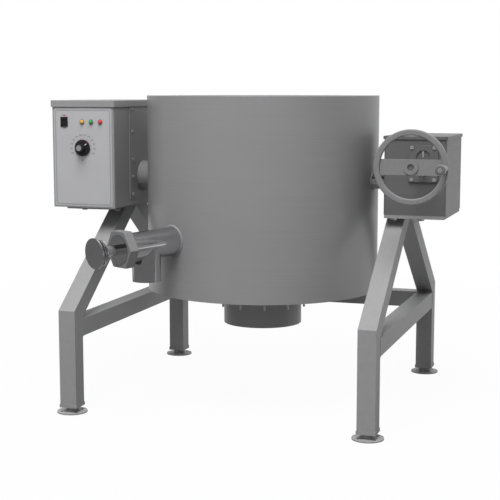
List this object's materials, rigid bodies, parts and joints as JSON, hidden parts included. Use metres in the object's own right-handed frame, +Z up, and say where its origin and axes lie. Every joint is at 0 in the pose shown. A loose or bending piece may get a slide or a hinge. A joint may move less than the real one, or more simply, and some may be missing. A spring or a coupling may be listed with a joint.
{
  "type": "steam jacketed kettle",
  "caption": "Steam jacketed kettle: round-bottomed bowl in a cylindrical shell, tilting on trunnions between two tube A-frames, with control box, handwheel gearbox and draw-off valve.",
  "frame": {"origin": "middle of the bounding box's footprint, at floor level", "axes": "+X from the control box to the gearbox, +Y to the back, +Z up"},
  "size_m": [1.2254, 0.9952, 0.9093],
  "materials": {
    "satin_stainless": "satin stainless sheet",
    "frame_stainless": "bead-blasted stainless tube",
    "foot_steel": "plain stainless casting",
    "box_stainless": "dark satin sheet metal",
    "gearbox_steel": "dark satin housing",
    "polished_steel": "polished stainless",
    "handwheel_iron": "smooth grey casting",
    "grip_steel": "turned steel",
    "bearing_iron": "painted casting",
    "bronze": "machined bronze",
    "fastener_steel": "plated fasteners",
    "label_plate": "pale satin plate",
    "black_plastic": "moulded black",
    "knob_cap": "spun aluminium",
    "amber_lens": "domed lens",
    "green_lens": "domed lens",
    "red_lens": "domed lens",
    "seal_rubber": "moulded ring"
  },
  "bodies": {
    "frame": {"amber_lamp": "amber_lens", "bearing_plate": "gearbox_steel", "bearing_plate_screws": "fastener_steel", "conduit_hub": "fastener_steel", "contactor": "black_plastic", "control_box": "box_stainless", "control_box_lid": "box_stainless", "front_left_leg": "frame_stainless", "front_right_leg": "frame_stainless", "gearbox_bushes": "bearing_iron", "gearbox_housing": "gearbox_steel", "gearbox_lid": "gearbox_steel", "green_lamp": "green_lens", "label_plate": "label_plate", "left_bearing_block": "bearing_iron", "left_cross_tube": "frame_stainless", "left_mount_plate": "frame_stainless", "leg_sockets": "frame_stainless", "mounting_bolts": "fastener_steel", "rear_cross_tube": "frame_stainless", "rear_left_leg": "frame_stainless", "rear_right_leg": "frame_stainless", "red_lamp": "red_lens", "right_cross_tube": "frame_stainless", "right_mount_plate": "frame_stainless", "service_panel": "box_stainless", "service_panel_screws": "fastener_steel", "switch_frame": "black_plastic", "thermostat": "black_plastic"},
    "kettle": {"outer_shell": "satin_stainless", "kettle_rim": "satin_stainless", "bowl": "satin_stainless", "steam_jacket": "satin_stainless", "base_plate": "satin_stainless", "element_sump": "satin_stainless", "element_plate": "satin_stainless", "heating_elements": "fastener_steel", "base_studs": "fastener_steel", "left_trunnion": "satin_stainless", "right_trunnion": "polished_steel", "worm_wheel": "bronze", "valve_body": "polished_steel", "valve_nut": "satin_stainless", "valve_bonnet": "polished_steel", "pressure_gauge": "satin_stainless", "safety_valve": "satin_stainless"},
    "handwheel": {"handwheel": "handwheel_iron", "worm_shaft": "grip_steel", "spinner_pin": "grip_steel"},
    "spinner": {"spinner_handle": "grip_steel"},
    "plunger": {"valve_plunger": "polished_steel", "plunger_seal": "seal_rubber", "pull_handle": "polished_steel"},
    "rocker": {"switch_rocker": "black_plastic"},
    "knob": {"thermostat_knob": "black_plastic", "thermostat_knob_cap": "knob_cap"},
    "front_left_foot": {"front_left_foot": "foot_steel"},
    "rear_left_foot": {"rear_left_foot": "foot_steel"},
    "front_right_foot": {"front_right_foot": "foot_steel"},
    "rear_right_foot": {"rear_right_foot": "foot_steel"}
  },
  "joints": [
    {"name": "kettle_tilt", "type": "hinge", "parent": "frame", "child": "kettle", "pos_m": [-0.01568, 0.03938, 0.661], "axis": [1, 0, 0], "range_deg": [0, 90]},
    {"name": "handwheel_turn", "type": "hinge", "parent": "frame", "child": "handwheel", "pos_m": [0.50633, 0.03938, 0.721], "axis": [0, 1, 0], "range_deg": [0, 4320]},
    {"name": "spinner_turn", "type": "hinge", "parent": "handwheel", "child": "spinner", "pos_m": [0.59888, -0.31062, 0.721], "axis": [0, 1, 0], "continuous": true},
    {"name": "plunger_slide", "type": "slide", "parent": "kettle", "child": "plunger", "axis": [-0.4993, -0.8648, -0.0523], "range_m": [0, 0.1]},
    {"name": "rocker_tip", "type": "hinge", "parent": "frame", "child": "rocker", "pos_m": [-0.56768, -0.16912, 0.8306], "axis": [1, 0, 0], "range_deg": [-16, 0]},
    {"name": "knob_turn", "type": "hinge", "parent": "frame", "child": "knob", "pos_m": [-0.50748, -0.16912, 0.7534], "axis": [0, 1, 0], "range_deg": [0, 290]},
    {"name": "front_left_foot_level", "type": "slide", "parent": "frame", "child": "front_left_foot", "axis": [0, 0, -1], "range_m": [0, 0.02]},
    {"name": "rear_left_foot_level", "type": "slide", "parent": "frame", "child": "rear_left_foot", "axis": [0, 0, -1], "range_m": [0, 0.02]},
    {"name": "front_right_foot_level", "type": "slide", "parent": "frame", "child": "front_right_foot", "axis": [0, 0, -1], "range_m": [0, 0.02]},
    {"name": "rear_right_foot_level", "type": "slide", "parent": "frame", "child": "rear_right_foot", "axis": [0, 0, -1], "range_m": [0, 0.02]}
  ],
  "couplings": [
    {"joint": "handwheel_turn", "follows": "kettle_tilt", "ratio": 48}
  ]
}
